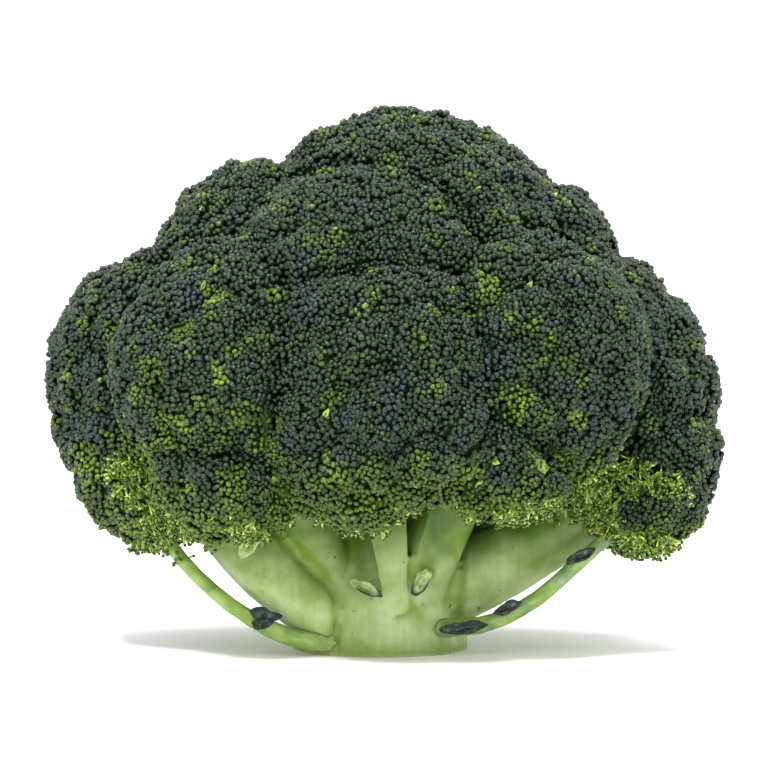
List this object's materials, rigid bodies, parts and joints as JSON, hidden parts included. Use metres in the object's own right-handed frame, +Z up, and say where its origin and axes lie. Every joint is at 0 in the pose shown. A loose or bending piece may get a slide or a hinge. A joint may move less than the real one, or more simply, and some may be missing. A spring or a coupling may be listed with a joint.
{
  "type": "broccoli head",
  "caption": "Whole broccoli head standing on its cut stalk: a domed crown of bud florets on forked pale stems, with thin side shoots and small leaves left on.",
  "frame": {"origin": "centre of the flat cut end that the stalk stands on", "axes": "+Z up through the crown, -Y towards the front with the two long side shoots, +X to the right of the front"},
  "size_m": [0.1595, 0.1488, 0.1291],
  "materials": {
    "buds": "dark blue-green flower buds with a waxy bloom, satin",
    "stalk": "pale green stalk skin, smooth and slightly waxy",
    "shoot": "mid green shoot skin with a grey bloom",
    "leaf": "dark slate-green dried leaf edge, matte"
  },
  "bodies": {
    "root": {"stalk": "stalk", "side_shoot_left": "shoot", "side_shoot_right": "shoot", "side_shoot_back": "shoot", "floret_crown": "buds", "floret_top_left": "buds", "floret_top_right": "buds", "floret_top_front": "buds", "floret_top_back": "buds", "floret_left": "buds", "floret_front_left": "buds", "floret_front": "buds", "floret_front_right": "buds", "floret_right": "buds", "floret_back_right": "buds", "floret_back": "buds", "floret_back_left": "buds", "floret_low_left": "buds", "floret_low_front_left": "buds", "floret_low_front": "buds", "floret_low_front_right": "buds", "floret_low_right": "buds", "floret_hanging_right": "buds", "floret_low_back_right": "buds", "floret_low_back": "buds", "floret_low_back_left": "buds", "leaf_front_left": "leaf", "leaf_front": "leaf", "leaf_front_right": "leaf", "leaf_back": "leaf", "leaf_scar_left": "leaf", "leaf_scar_right": "leaf", "leaf_scar_right_upper": "leaf", "leaf_scar_right_tip": "leaf"}
  },
  "joints": []
}
